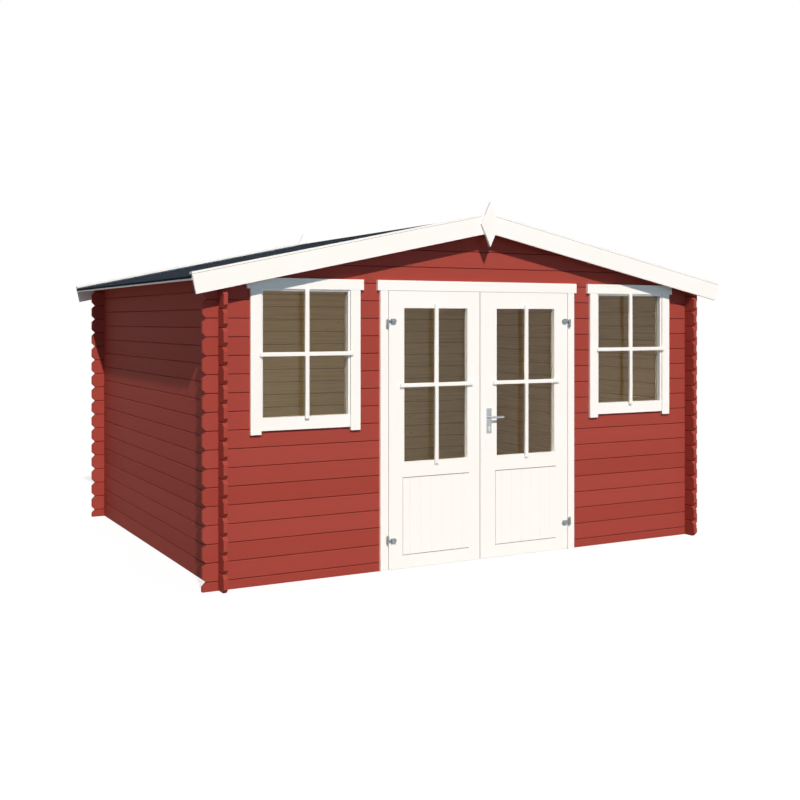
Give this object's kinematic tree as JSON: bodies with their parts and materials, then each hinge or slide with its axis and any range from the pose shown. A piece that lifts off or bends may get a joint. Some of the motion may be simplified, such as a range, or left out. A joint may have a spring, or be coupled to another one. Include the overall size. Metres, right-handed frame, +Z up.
{
  "type": "summerhouse",
  "caption": "Log-board summerhouse with crossed corner logs, shallow felted gable roof, diamond finials, glazed and boarded double door that opens outwards, and fixed front windows.",
  "frame": {"origin": "on the ground at the middle of the footprint, under the ridge", "axes": "+X to the right as seen from in front, +Y from the door front to the back wall, +Z up"},
  "size_m": [4.208, 3.232, 2.4635],
  "materials": {
    "red_wall_paint": "weathered matt red oxide paint on spruce log boards",
    "white_trim_paint": "satin off-white paint on planed spruce",
    "bare_spruce": "unpainted planed spruce, darkened by age",
    "roof_felt": "dark slate-grey mineral-surfaced bitumen felt",
    "clear_glass": "clear float glass",
    "galvanised_steel": "dull galvanised",
    "satin_steel": "satin",
    "nickel": "bright nickel plate"
  },
  "bodies": {
    "root": {"front_logs_lower_left": "red_wall_paint", "front_logs_lower_right": "red_wall_paint", "front_logs_corner_left": "red_wall_paint", "front_logs_corner_right": "red_wall_paint", "front_logs_pier_left": "red_wall_paint", "front_logs_pier_right": "red_wall_paint", "front_gable": "red_wall_paint", "back_wall": "red_wall_paint", "left_wall": "red_wall_paint", "right_wall": "red_wall_paint", "ridge_purlin": "bare_spruce", "side_purlins": "bare_spruce", "roof_boards_left": "bare_spruce", "roof_boards_right": "bare_spruce", "roof_felt_left": "roof_felt", "roof_felt_right": "roof_felt", "eaves_strips": "white_trim_paint", "front_barge_left": "white_trim_paint", "front_barge_right": "white_trim_paint", "back_barge_left": "white_trim_paint", "back_barge_right": "white_trim_paint", "barge_caps": "white_trim_paint", "front_finial": "white_trim_paint", "back_finial": "white_trim_paint", "door_jamb_left": "white_trim_paint", "door_jamb_right": "white_trim_paint", "door_head": "white_trim_paint", "door_threshold": "bare_spruce", "head_boards": "white_trim_paint", "left_window_frame": "white_trim_paint", "right_window_frame": "white_trim_paint", "window_glass": "clear_glass", "hinge_pins": "galvanised_steel"},
    "left_door": {"left_door_frame": "white_trim_paint", "left_door_panel": "white_trim_paint", "left_door_glass": "clear_glass", "left_door_hinges": "galvanised_steel"},
    "right_door": {"right_door_frame": "white_trim_paint", "right_door_panel": "white_trim_paint", "right_door_glass": "clear_glass", "right_door_hinges": "galvanised_steel", "lock_plates": "satin_steel", "lock_cylinder": "nickel"},
    "door_lever": {"lever_handle": "satin_steel"}
  },
  "joints": [
    {"name": "left_door_hinge", "type": "hinge", "parent": "root", "child": "left_door", "pos_m": [-0.743, -1.512, 0.9], "axis": [0, 0, -1], "range_deg": [0, 150]},
    {"name": "right_door_hinge", "type": "hinge", "parent": "root", "child": "right_door", "pos_m": [0.743, -1.512, 0.9], "axis": [0, 0, 1], "range_deg": [0, 150]},
    {"name": "lever_turn", "type": "hinge", "parent": "right_door", "child": "door_lever", "pos_m": [0.055, -1.478, 0.984], "axis": [0, 1, 0], "range_deg": [0, 40], "stiffness_Nm_per_rad": 1.5, "springref_deg": -28.65}
  ]
}
